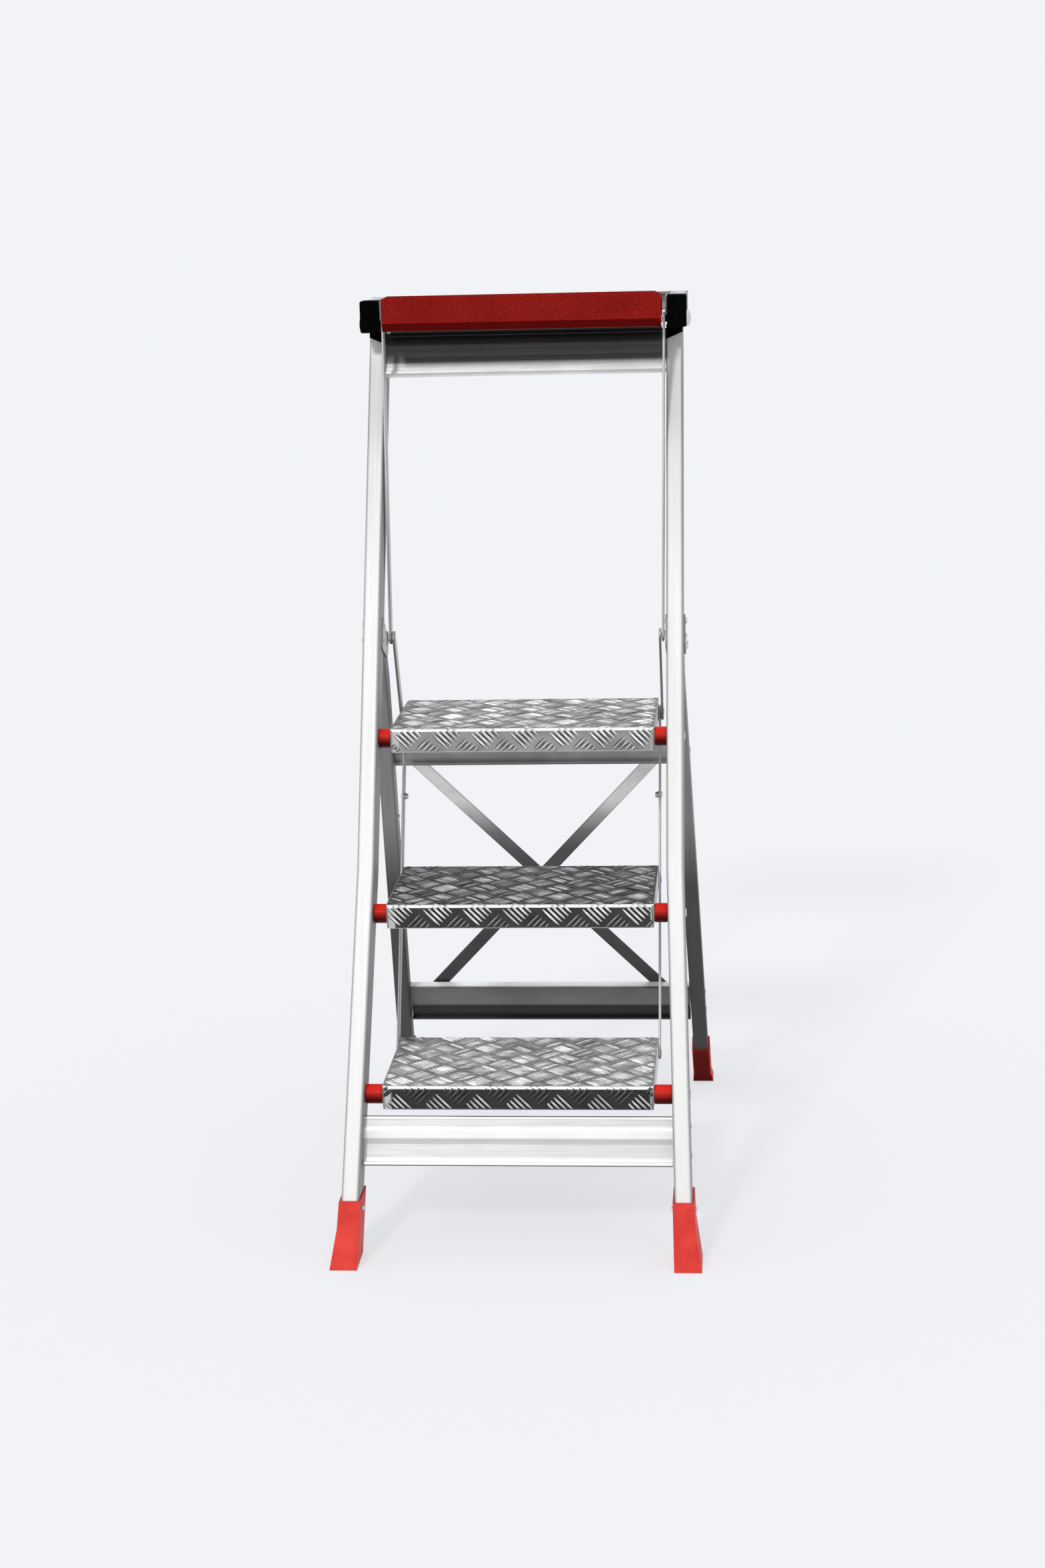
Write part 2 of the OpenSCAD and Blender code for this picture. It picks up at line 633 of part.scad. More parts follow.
// ---------- feet ----------
// level slice of a foot round the stile at height z
module foot_slice(z, flare) {
    u = z / cf;
    x = stile_face(u);
    translate([x - foot_wall, z * tf - foot_front, z])
        cube([stile_width + 2 * foot_wall + flare, stile_level + foot_front + 4, 0.2]);
}
module front_foot() {
    split = front_foot_height * 0.6;
    difference() {
        union() {
            hull() {
                foot_slice(front_foot_height, 0);
                foot_slice(split, 1);
            }
            hull() {
                foot_slice(split, 1);
                foot_slice(0, foot_flare);
            }
        }
        difference() {
            stile_solid(fit);
            slab(0, 500, -big, big, -200, sole - fit);
        }
        rod(0, 500, foot_rivet_y, foot_rivet_z, shank_r + fit);
        // grooves across the sole
        for (k = [0:4]) slab(0, 500, 4 + k * 11, 8 + k * 11, -1, 1.6);
    }
}
module front_foot_left() { color(red) base() left() front_foot(); }
module front_foot_right() { color(red) base() right() front_foot(); }
module front_foot_rivets() {
    u = foot_rivet_z / cf;
    x0 = stile_face(u) - foot_wall;
    x1 = x0 + stile_width + 2 * foot_wall + 1;
    color(steel) base() both() {
        rod(x0 - 0.5, x1 + 0.5, foot_rivet_y, foot_rivet_z, shank_r, 24);
        inward_head(x0 - 2 * lift, foot_rivet_y, foot_rivet_z, 4.5, 2.2);
        head(x1 + lift, foot_rivet_y, foot_rivet_z, 4.5, 2.6);
    }
}
module rear_foot() {
    difference() {
        union() {
            difference() {
                leg_solid(foot_wall);
                rear_plane() slab(0, 500, -50, 100, rear_foot_height, 1000);
                slab(0, 500, -big, big, -200, 0);
            }
            // broad sole
            intersection() {
                slab(0, 500, base_depth - 6, rear_foot_back, 0, 14);
                hull() {
                    translate([leg_face(0) - foot_wall - 1, base_depth - 4, 0])
                        cube([leg_width + 2 * foot_wall + 4, leg_level + foot_wall + 4, 0.2]);
                    translate([leg_face(16) - foot_wall, base_depth - 9, 14])
                        cube([leg_width + 2 * foot_wall, leg_level + foot_wall + 3, 0.2]);
                }
            }
        }
        difference() {
            leg_solid(fit);
            slab(0, 500, -big, big, -200, sole - fit);
        }
        rear_plane() rod(leg_face(0) + 8, 500, leg_depth / 2, rear_foot_rivet_u, shank_r + fit);
        for (k = [0:2]) slab(0, 500, base_depth + 3 + k * 10, base_depth + 7 + k * 10, -1, 1.6);
    }
}
module rear_foot_left() { color(red) base() left() rear_foot(); }
module rear_foot_right() { color(red) base() right() rear_foot(); }
module rear_foot_rivets() {
    x = leg_face(rear_foot_rivet_u) + leg_width + foot_wall;
    color(steel) base() both() rear_plane() rivet(x, leg_depth / 2, rear_foot_rivet_u, foot_wall + wall);
}

// ---------- top frame ----------
// moulded joint: plug in the stile, seat for the arm, skirt in front
module corner_joint() {
    slab(stile_in, stile_out, stile_top_y - 3, stile_top_y + stile_level, stile_top + fit, arm_z - fit);
    intersection() {
        front_plane() translate([stile_in + wall + fit, wall + fit, stile_top / cf - 60])
            cube([stile_width - 2 * wall - 2 * fit, stile_depth - 2 * wall - 2 * fit, 100]);
        slab(0, 400, -big, big, stile_top - 24, stile_top + 1);
    }
    hull() {
        translate([stile_in, stile_top_y - 3, stile_top]) cube([stile_width, 3 - fit, 1]);
        front_plane() translate([stile_in, -2.4, stile_top / cf - 19]) cube([1, 2.4 - fit, 1]);
        front_plane() translate([stile_out - 1, -2.4, stile_top / cf - 9]) cube([1, 2.4 - fit, 1]);
    }
}
module corner_joint_left() { color(black) base() left() corner_joint(); }
module corner_joint_right() { color(black) base() right() corner_joint(); }
module arm() {
    difference() {
        translate([arm_in, arm_front + 3, arm_z]) rotate([90, 0, 0]) mirror([0, 0, 1])
            linear_extrude(arm_length - 3) tube_section(arm_width, arm_height);
        translate([stile_mid, arm_rivet_y, arm_z + arm_height / 2])
            cylinder(r = shank_r + fit, h = arm_height, $fn = 24);
        rod(arm_in - 1, arm_in + arm_width + 1, bolt_y, bolt_z, bolt_r + fit);
    }
}
module arm_left() { color(alu) base() left() arm(); }
module arm_right() { color(alu) base() right() arm(); }
// sleeve cap over the arm's front end
module arm_cap_part() {
    difference() {
        translate([arm_in - arm_cap, arm_front, arm_z - arm_cap]) rotate([90, 0, 0]) mirror([0, 0, 1])
            linear_extrude(30) box_section(arm_width + 2 * arm_cap, arm_height + 2 * arm_cap, r_round);
        translate([arm_in - fit, arm_front + 3 - fit, arm_z - fit]) rotate([90, 0, 0]) mirror([0, 0, 1])
            linear_extrude(40) box_section(arm_width + 2 * fit, arm_height + 2 * fit, r_round);
        rod(arm_in - 5, arm_in + arm_width + 5, bolt_y, bolt_z, bolt_r + fit);
    }
}
module arm_cap_left() { color(black) base() left() arm_cap_part(); }
module arm_cap_right() { color(black) base() right() arm_cap_part(); }
module side_strip() {
    slab(strip_x, arm_in - arm_cap - fit, arm_front + 2, arm_front + arm_length - 4,
        strip_z, arm_z + arm_height);
}
module side_strip_left() { color(alu) base() left() side_strip(); }
module side_strip_right() { color(alu) base() right() side_strip(); }
module rear_rail() {
    x = strip_x - fit;
    y = arm_front + arm_length;
    color(alu) base() {
        slab(-arm_in - arm_width, arm_in + arm_width, y + fit, y + 3, strip_z, arm_z + arm_height);
        slab(-x, x, y - 14, y + 3, arm_z + arm_height - 3, arm_z + arm_height);
    }
}
// tray body, open on top, with a deep chamfered front lip
module lip_section(y, z) {
    polygon([
        [y + 5, z], [y, z + 11], [y, z + tray_lip - 3], [y + 1, z + tray_lip - 1], [y + 3, z + tray_lip],
        [y + 5, z + tray_lip], [y + 6.5, z + tray_lip - 2], [y + 6.5, z]
    ]);
}
module tool_tray() {
    y0 = tray_front;
    y1 = tray_front + tray_depth;
    top = tray_z + tray_lip;
    color(red) base() difference() {
        union() {
            slab(-tray_body, tray_body, y0 + 5.5, y1, tray_z, tray_z + tray_wall_height);
            // ribs that stand on the upper crossbar
            both() slab(100, 140, bar_top_y + 1, bar_top_y + 6, bar_top_z + 0.1, tray_z + 1);
            rotate([90, 0, 90]) translate([0, 0, -tray_half]) linear_extrude(2 * tray_half)
                lip_section(y0, tray_z);
        }
        slab(-tray_body + tray_wall, tray_body - tray_wall, y0 + 5.5 + tray_wall, y1 - tray_wall,
            tray_z + tray_wall, top + 50);
        // slanted top corners of the lip
        both() translate([0, y0 + 50, 0]) rotate([90, 0, 0]) linear_extrude(100) polygon([
            [tray_half - 9, top + 0.4], [tray_half + 1, top - 4.6], [tray_half + 1, top + 2],
            [tray_half - 9, top + 2]
        ]);
        both() rod(tray_body - 10, tray_body + 1, bolt_y, bolt_z, bolt_r + fit);
    }
}
module tray_bolt() {
    rod(tray_body - tray_wall - 0.5, arm_in + arm_width + arm_cap + 0.2, bolt_y, bolt_z, bolt_r);
    inward_head(tray_body - tray_wall - 0.2, bolt_y, bolt_z, bolt_r + 1.5, 2);
}
module tray_bolts() {
    x = arm_in + arm_width + arm_cap + fit;
    color(steel) base() {
        both() tray_bolt();
        translate([x, bolt_y, bolt_z]) rotate([0, 90, 0]) rotate_extrude($fn = 32)
            polygon([[0, 0], [12, 0], [11, 2.5], [8, 4.6], [4, 5.8], [0, 6.2]]);
        left() head(x, bolt_y, bolt_z, 9, 1.4);
    }
}
module bolt_spacers() {
    color(black) base() both() difference() {
        rod(strip_x, arm_in - arm_cap - fit, bolt_y, bolt_z, bolt_r + 1 - fit, 32);
        rod(strip_x - 1, arm_in + 1, bolt_y, bolt_z, bolt_r + fit);
    }
}

stile_left();
stile_right();
front_crossbar_low();
front_crossbar_high();
frame_rivets();
front_foot_left();
front_foot_right();
front_foot_rivets();
axle_bottom();
axle_middle();
axle_top();
bushes_bottom();
bushes_middle();
bushes_top();
tread_bottom();
tread_middle();
tread_top();
link_pins_bottom();
link_pins_middle();
link_pins_top();
link_left();
link_right();
link_bolts();
hanger_left();
hanger_right();
stay_left();
stay_right();
hinge_plate_outer_left();
hinge_plate_outer_right();
hinge_plate_inner_left();
hinge_plate_inner_right();
hinge_plate_rivets();
hinge_pins();
bracket_pins();
rear_leg_left();
rear_leg_right();
leg_cap_left();
leg_cap_right();
rear_crossbar_high();
rear_crossbar_low();
brace_front();
brace_rear();
rear_rivets();
rear_foot_left();
rear_foot_right();
rear_foot_rivets();
corner_joint_left();
corner_joint_right();
arm_left();
arm_right();
arm_cap_left();
arm_cap_right();
side_strip_left();
side_strip_right();
rear_rail();
tool_tray();
tray_bolts();
bolt_spacers();
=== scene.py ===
import math

import bpy
from mathutils import Matrix, Vector


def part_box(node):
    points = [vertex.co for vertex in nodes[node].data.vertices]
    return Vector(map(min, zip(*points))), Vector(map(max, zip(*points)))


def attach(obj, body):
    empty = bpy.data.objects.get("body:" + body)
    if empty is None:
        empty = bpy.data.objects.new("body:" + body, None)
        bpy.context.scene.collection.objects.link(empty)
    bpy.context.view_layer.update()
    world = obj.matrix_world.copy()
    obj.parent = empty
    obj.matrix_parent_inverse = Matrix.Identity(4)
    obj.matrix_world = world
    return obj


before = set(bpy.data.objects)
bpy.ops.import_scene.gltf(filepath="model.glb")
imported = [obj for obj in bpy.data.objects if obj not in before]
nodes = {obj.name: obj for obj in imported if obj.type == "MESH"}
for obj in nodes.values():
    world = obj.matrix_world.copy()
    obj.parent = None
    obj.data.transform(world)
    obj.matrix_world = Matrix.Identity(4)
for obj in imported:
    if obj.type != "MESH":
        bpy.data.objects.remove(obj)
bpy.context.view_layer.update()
print("frame loaded:", len(nodes), "nodes")

frontLean = math.radians(25)
rearLean = math.radians(-26)
metalWarmth = (1.0, 0.987, 0.962)   # a touch warm, to answer the cool studio
noiseSpan = (0.3, 0.7)              # where most of a noise's values lie
edgeLineSpan = (0.035, 0.085)          # how sharp an edge is where the dark edge line begins and where it is full
gradeRoom = 4.0                     # a ramp's colours end at 1, so gradings are kept divided by this
bevelSamples = 4


def newMaterial(name):
    material = bpy.data.materials.new(name)
    material.use_nodes = True
    tree = material.node_tree
    tree.nodes.clear()
    return material, tree


def addNode(tree, kind, inputs=None, **settings):
    # an input is a number or a colour, or a socket to link from
    node = tree.nodes.new(kind)
    for key, value in settings.items():
        setattr(node, key, value)
    for key, value in (inputs or {}).items():
        if hasattr(value, "links"):
            tree.links.new(value, node.inputs[key])
        else:
            node.inputs[key].default_value = value
    return node


def mathNode(tree, operation, a, b=0.0, clamp=False):
    return addNode(tree, "ShaderNodeMath", {0: a, 1: b}, operation=operation, use_clamp=clamp).outputs[0]


def mixColour(tree, factor, a, b, blend="MIX"):
    node = addNode(tree, "ShaderNodeMix", {0: factor, 6: a, 7: b}, data_type="RGBA", blend_type=blend)
    return node.outputs[2]


def scaledColour(tree, colour, strength):
    # a colour made darker or lighter by a number or a socket
    if hasattr(strength, "links"):
        grey = addNode(tree, "ShaderNodeCombineColor", {0: strength, 1: strength, 2: strength}).outputs[0]
    else:
        grey = (strength, strength, strength, 1)
    return mixColour(tree, 1.0, colour, grey, "MULTIPLY")


def ramp(tree, value, stops):
    node = addNode(tree, "ShaderNodeValToRGB", {0: value})
    elements = node.color_ramp.elements
    while len(elements) < len(stops):
        elements.new(0.5)
    for element, (position, tone) in zip(elements, stops):
        element.position = position
        element.color = tone if isinstance(tone, tuple) else (tone, tone, tone, 1)
    return node.outputs[0]


def fade(tree, value, span, top=1.0):
    # 0 up to the low end of the span, top from its high end on
    return ramp(tree, value, [(span[0], 0.0), (span[1], top)])


def metalTone(grey):
    return (*(grey * part for part in metalWarmth), 1)


def toneRamp(tree, value, stops):
    return ramp(tree, value, [(position, metalTone(grey)) for position, grey in stops])


def mapRange(tree, value, span, low, high):
    made = addNode(tree, "ShaderNodeMapRange", {0: value, 1: span[0], 2: span[1], 3: low, 4: high})
    return made.outputs[0]


def objectPlace(tree, turn=(0, 0, 0), scale=(1, 1, 1)):
    coordinate = addNode(tree, "ShaderNodeTexCoord")
    turned = addNode(tree, "ShaderNodeMapping", {0: coordinate.outputs["Object"], 2: turn})
    return addNode(tree, "ShaderNodeMapping", {0: turned.outputs[0], 3: scale}).outputs[0]


def noise(tree, place, scale, detail=4, roughness=0.6):
    made = addNode(tree, "ShaderNodeTexNoise", {"Vector": place, "Scale": scale, "Detail": detail,
                                                "Roughness": roughness})
    return made.outputs[0]


def dotProduct(tree, a, b):
    made = addNode(tree, "ShaderNodeVectorMath", {0: a, 1: b}, operation="DOT_PRODUCT")
    return made.outputs["Value"]


def facing(tree, axis):
    # how far the surface faces along an axis of its own piece, from -1 to 1
    return dotProduct(tree, addNode(tree, "ShaderNodeTexCoord").outputs["Normal"], axis)


def placeWithin(tree, axis):
    # 0 at the low end of the piece along an axis, 1 at its high end
    coordinate = addNode(tree, "ShaderNodeTexCoord")
    return addNode(tree, "ShaderNodeSeparateXYZ", {0: coordinate.outputs["Generated"]}).outputs[axis]


def bevelNormal(tree, radius):
    return addNode(tree, "ShaderNodeBevel", {"Radius": radius}, samples=bevelSamples).outputs[0]


def edgeMask(tree, radius, span):
    # bright along edges: the rounded normal against the plain one
    plain = addNode(tree, "ShaderNodeNewGeometry").outputs["Normal"]
    alike = dotProduct(tree, bevelNormal(tree, radius), plain)
    return fade(tree, mathNode(tree, "SUBTRACT", 1.0, alike), span)


def finishMaterial(tree, colour, rough, height, style, metal=None):
    bump = addNode(tree, "ShaderNodeBump", {"Strength": style["bumpStrength"], "Distance": style["bumpDepth"],
                                            "Height": height,
                                            "Normal": bevelNormal(tree, style["edgeRadius"])})
    shader = addNode(tree, "ShaderNodeBsdfPrincipled", {
        "Base Color": colour, "Roughness": rough, "Normal": bump.outputs[0],
        "Metallic": style["metallic"] if metal is None else metal, "IOR": style["ior"],
        "Specular IOR Level": style["gloss"], "Anisotropic": style.get("anisotropy", 0.0)})
    addNode(tree, "ShaderNodeOutputMaterial", {0: shader.outputs[0]})


def darkEdgeLines(tree, body, style):
    # the edges are darkened to thin dark lines and made hardly metallic there
    edge = mathNode(tree, "MULTIPLY", edgeMask(tree, style["edgeLineReach"], edgeLineSpan), style["edgeLineAmount"])
    body = mixColour(tree, edge, body, metalTone(style["edgeLineTone"]))
    metal = mathNode(tree, "MULTIPLY", mathNode(tree, "SUBTRACT", 1.0, edge), style["metallic"])
    return body, metal


def heightShading(tree, body, stops):
    # painted light and shade that changes from the foot of a section to its top
    heightShade = ramp(tree, placeWithin(tree, 2), [(position, strength / gradeRoom) for position, strength in stops])
    return scaledColour(tree, body, mathNode(tree, "MULTIPLY", heightShade, gradeRoom))


# the side and under tones are painted shade, and the grading over the height is painted light and shade
drawnSection = {
    "light": 0.74, "dull": 0.64, "side": 0.36, "paintedSideSpan": (0.6, 0.9), "paintedSideShare": 0.9, "under": 0.32,
    "underSpan": (0.0, 0.5), "streakScale": 420, "streakStretch": 0.012, "streakShare": 0.6,
    "fineRatio": 3.1, "fineShare": 0.4, "lineSpan": (0.34, 0.66), "cloudScale": 9,
    "cloudSpan": (0.35, 0.75), "cloudShare": 0.3, "edgeLineTone": 0.004, "edgeLineReach": 0.0040, "edgeLineAmount": 1.0,
    "heightShade": [(0.70, 1.0), (0.78, 0.93), (0.855, 0.88), (0.90, 0.78), (0.945, 0.80), (0.965, 0.90),
              (0.985, 1.2)],
    "roughLow": 0.46, "roughHigh": 0.62, "edgeRadius": 0.0008, "bumpStrength": 0.25, "bumpDepth": 0.00006,
    "metallic": 0.5, "anisotropy": 0.3, "gloss": 0.12, "ior": 1.5,
}
armSection = dict(drawnSection, heightShade=[(0.0, 1.0), (1.0, 1.0)])
flatStrip = dict(armSection, light=0.86, dull=0.72, side=0.64, streakScale=500, streakStretch=0.02,
                 cloudScale=14, edgeLineTone=0.012, edgeLineReach=0.0030, edgeRadius=0.0005)


def sectionAluminium(name, lean, style):
    # drawn aluminium with die lines along the section, leaning like its frame
    material, tree = newMaterial(name)
    along = objectPlace(tree, turn=(lean, 0, 0), scale=(1, 1, style["streakStretch"]))
    streak = noise(tree, along, style["streakScale"])
    fineStreak = noise(tree, along, style["streakScale"] * style["fineRatio"], 2, 0.5)
    lines = mathNode(tree, "ADD", mathNode(tree, "MULTIPLY", streak, style["streakShare"]),
                     mathNode(tree, "MULTIPLY", fineStreak, style["fineShare"]))
    dullEnd, lightEnd = style["lineSpan"]
    body = toneRamp(tree, lines, [(dullEnd, style["dull"]), (lightEnd, style["light"])])
    cloud = noise(tree, objectPlace(tree), style["cloudScale"])
    patch = fade(tree, cloud, style["cloudSpan"], style["cloudShare"])
    body = mixColour(tree, patch, body, metalTone(style["dull"]))
    # painted shade: faces turned sideways take the darker side tone, faces turned down the darker under tone
    aside = mathNode(tree, "ABSOLUTE", facing(tree, (1, 0, 0)))
    aside = fade(tree, aside, style["paintedSideSpan"], style["paintedSideShare"])
    body = mixColour(tree, aside, body, metalTone(style["side"]))
    down = fade(tree, facing(tree, (0, 0, -1)), style["underSpan"])
    body = mixColour(tree, down, body, metalTone(style["under"]))
    body = heightShading(tree, body, style["heightShade"])
    body, metal = darkEdgeLines(tree, body, style)
    rough = mapRange(tree, lines, noiseSpan, style["roughLow"], style["roughHigh"])
    finishMaterial(tree, body, rough, lines, style, metal)
    return material


# painted shade: the rear legs get darker tones than the front sections, and painted light makes their upper
# part much lighter
rearSection = dict(drawnSection, light=0.30, dull=0.085, under=0.070, toneStops=(0.30, 0.5, 0.8),
                   streakLift=1.35, cloudSpan=(0.4, 0.8), edgeLineTone=0.006, edgeLineReach=0.0034,
                   heightShade=[(0.47, 1.0), (0.62, 3.3)])


def shadedRearAluminium(name, lean, style):
    # drawn aluminium painted darker as in shade, with painted light on faces turned up, duller sides and
    # painted shade on faces turned down
    material, tree = newMaterial(name)
    along = objectPlace(tree, turn=(lean, 0, 0), scale=(1, 1, style["streakStretch"]))
    streak = noise(tree, along, style["streakScale"])
    upward = mapRange(tree, facing(tree, (0, 0, 1)), (-1.0, 1.0), 0.0, 1.0)
    body = toneRamp(tree, upward, zip(style["toneStops"], (style["under"], style["dull"], style["light"])))
    lifted = scaledColour(tree, body, style["streakLift"])
    body = mixColour(tree, fade(tree, streak, noiseSpan), body, lifted)
    cloud = noise(tree, objectPlace(tree), style["cloudScale"])
    patch = fade(tree, cloud, style["cloudSpan"], style["cloudShare"])
    body = mixColour(tree, patch, body, metalTone(style["dull"]))
    body = heightShading(tree, body, style["heightShade"])
    body, metal = darkEdgeLines(tree, body, style)
    rough = mapRange(tree, streak, noiseSpan, style["roughLow"], style["roughHigh"])
    finishMaterial(tree, body, rough, streak, style, metal)
    return material


# the bands are painted light and shade over each bar's height; on the upper crossbar the dark upper part is the
# tray's painted shadow
upperBar = {
    "lightAndShadeBands": [(0.0, 0.88), (0.04, 0.85), (0.07, 0.60), (0.20, 0.74), (0.29, 0.55), (0.35, 0.10),
              (0.44, 0.085), (0.62, 0.06), (0.66, 0.08), (0.76, 0.045), (0.88, 0.010), (0.95, 0.03),
              (1.0, 0.06)],
    "streakScale": 420, "streakStretch": 0.03, "wander": 0.02, "cloudScale": 14, "liftLow": 0.88,
    "liftHigh": 1.10, "roughLow": 0.34, "roughHigh": 0.50, "edgeRadius": 0.0005, "bumpStrength": 0.25,
    "bumpDepth": 0.00005, "metallic": 0.25, "gloss": 0.35, "ior": 1.5,
}
lowBar = dict(upperBar, lightAndShadeBands=[(0.0, 0.04), (0.09, 0.04), (0.115, 0.86), (0.17, 0.82), (0.23, 0.60),
                               (0.49, 0.59), (0.53, 0.54), (0.56, 0.60), (0.585, 0.92), (0.75, 0.94),
                               (0.82, 0.58), (0.93, 0.60), (0.955, 0.88), (0.975, 0.80), (0.985, 0.04)],
              wander=0.008, liftLow=0.97, liftHigh=1.03)
rearLowBar = dict(upperBar, lightAndShadeBands=[(0.0, 0.020), (0.31, 0.022), (0.35, 0.006), (0.39, 0.055), (0.43, 0.17),
                                   (0.89, 0.14), (0.915, 0.08), (0.935, 0.70), (0.955, 0.98)])
rearHighBar = dict(upperBar, lightAndShadeBands=[(0.0, 0.10), (0.08, 0.34), (0.55, 0.42), (0.85, 0.50), (0.95, 0.30)],
                   liftLow=0.75, liftHigh=1.2)
braceBar = dict(upperBar, lightAndShadeBands=[(0.0, 0.055), (0.50, 0.070), (0.60, 0.10), (0.67, 0.20), (0.73, 0.52),
                                 (0.79, 0.97), (0.90, 0.98), (1.0, 0.74)],
                liftLow=0.80, liftHigh=1.15, metallic=0.4, edgeLineTone=0.02, edgeLineReach=0.0022, edgeLineAmount=0.85)


def bandedAluminium(name, style):
    # drawn aluminium with painted light and shade over its height, where its profile turns towards and away
    # from the light and where parts above shade it
    material, tree = newMaterial(name)
    streak = noise(tree, objectPlace(tree, scale=(style["streakStretch"], 1, 1)), style["streakScale"])
    wander = mathNode(tree, "MULTIPLY", mathNode(tree, "SUBTRACT", streak, 0.5), style["wander"])
    body = toneRamp(tree, mathNode(tree, "ADD", placeWithin(tree, 2), wander), style["lightAndShadeBands"])
    cloud = noise(tree, objectPlace(tree), style["cloudScale"])
    body = scaledColour(tree, body, mapRange(tree, cloud, noiseSpan, style["liftLow"], style["liftHigh"]))
    metal = None
    if "edgeLineTone" in style:
        body, metal = darkEdgeLines(tree, body, style)
    rough = mapRange(tree, streak, noiseSpan, style["roughLow"], style["roughHigh"])
    finishMaterial(tree, body, rough, streak, style, metal)
    return material


treadFinish = {
    "side": 0.70, "paintedSideSpan": (0.5, 0.9), "bend": 0.96, "bendHighlightSpan": (0.05, 0.2), "rimHighlightReach": 0.0022,
    "rimHighlightSpan": (0.01, 0.16), "lipSpan": (0.8, 0.97), "lipEnd": 0.55,
    "lipEndStops": [(0.0, 1.0), (0.030, 1.0), (0.036, 0.0), (0.984, 0.0), (0.990, 1.0)],
    "patch": (26, 5, 0.65), "patchDull": 0.72, "grain": (900, 3, 0.6), "roughLow": 0.30, "roughHigh": 0.52,
    "edgeRadius": 0.0012, "bumpStrength": 0.35, "bumpDepth": 0.0001, "ior": 1.5,
}
barCrest = {"patch": (48, 4, 0.6), "patchDull": 0.62, "grain": (700, 2, 0.5), "roughLow": 0.18,
            "roughHigh": 0.36, "edgeRadius": 0.0003}
barFlank = {"patch": (60, 4, 0.6), "patchDull": 0.72, "grain": (900, 2, 0.5), "roughLow": 0.60,
            "roughHigh": 0.85, "edgeRadius": 0.0003, "metallic": 0.0, "gloss": 0.08}
# lit and shaded copies of the bar finish, for crests and for flanks
barFinishes = {"litCrest": barCrest, "litFlank": barFlank, "shadedCrest": barCrest, "shadedFlank": barFlank}
treadShadeTones = {   # painted light and shade: each tread's own greys on its top and on its front lip
    "top": {"plate": (0.22, 0.33), "litCrest": (0.97, 0.95), "litFlank": (0.88, 0.012),
            "shadedCrest": (0.80, 0.60), "shadedFlank": (0.44, 0.05)},
    "middle": {"plate": (0.040, 0.050), "litCrest": (0.44, 0.84), "litFlank": (0.32, 0.012),
               "shadedCrest": (0.32, 0.22), "shadedFlank": (0.20, 0.02)},
    "bottom": {"plate": (0.32, 0.026), "litCrest": (0.97, 0.60), "litFlank": (0.88, 0.006),
               "shadedCrest": (0.85, 0.08), "shadedFlank": (0.60, 0.015)},
}
# per tread: the spread of each bar's brightness at the front and the back, partly rubbed wear and partly
# painted glints and sheen, and the tread's metallic and gloss
barWearAndShade = {
    "top": {"wearAndSheen": 0.25, "rubAndSheen": 1.60, "frontWearAndSheen": 0.25, "frontRubAndSheen": 1.60, "metallic": 0.35,
            "gloss": 0.4},
    "middle": {"wearAndSheen": 0.02, "rubAndSheen": 2.0, "frontWearAndSheen": 0.02, "frontRubAndSheen": 2.3, "metallic": 0.1,
               "gloss": 0.1},
    "bottom": {"wearAndSheen": 0.15, "rubAndSheen": 1.65, "frontWearAndSheen": 0.75, "frontRubAndSheen": 1.60, "metallic": 0.35,
               "gloss": 0.4},
}
rubWearAndSheen = {"scale": 30, "stretch": (0.9, 3.2, 1.0), "roughness": 0.7, "span": (0.36, 0.62), "low": 0.55,
           "high": 1.25, "patchSpan": (0.42, 0.62), "backSheenSpan": (0.1, 0.8), "bendBlend": 0.15}


def topFacing(tree):
    # 1 on the top of a tread, 0 on its front lip
    across = mathNode(tree, "SUBTRACT", facing(tree, (0, 0, 1)), facing(tree, (0, -1, 0)))
    return mapRange(tree, across, (-rubWearAndSheen["bendBlend"], rubWearAndSheen["bendBlend"]), 0.0, 1.0)


def twoTone(tree, tones, patch, style, wearAndShade=None):
    # painted light and shade: one grey on the top and one on the lip; duller in patches and rubbed unevenly on
    # the top
    top, front = tones
    onTop = topFacing(tree)
    body = mixColour(tree, onTop, metalTone(front), metalTone(top))
    dulled = scaledColour(tree, body, style["patchDull"])
    body = mixColour(tree, fade(tree, patch, rubWearAndSheen["patchSpan"]), body, dulled)
    place = objectPlace(tree, scale=rubWearAndSheen["stretch"])
    streak = noise(tree, place, rubWearAndSheen["scale"], roughness=rubWearAndSheen["roughness"])
    rubAndGlint = mapRange(tree, streak, rubWearAndSheen["span"], rubWearAndSheen["low"], rubWearAndSheen["high"])
    if wearAndShade:   # each bar gets its own brightness, as painted glints, with a painted sheen that widens the spread towards the back
        island = addNode(tree, "ShaderNodeNewGeometry").outputs["Random Per Island"]
        back = placeWithin(tree, 1)
        low = mapRange(tree, back, rubWearAndSheen["backSheenSpan"], wearAndShade["frontWearAndSheen"], wearAndShade["wearAndSheen"])
        high = mapRange(tree, back, rubWearAndSheen["backSheenSpan"], wearAndShade["frontRubAndSheen"], wearAndShade["rubAndSheen"])
        span = mathNode(tree, "SUBTRACT", high, low)
        own = mathNode(tree, "ADD", low, mathNode(tree, "MULTIPLY", island, span))
        rubAndGlint = mathNode(tree, "MULTIPLY", rubAndGlint, own)
    return mixColour(tree, onTop, body, scaledColour(tree, body, rubAndGlint))


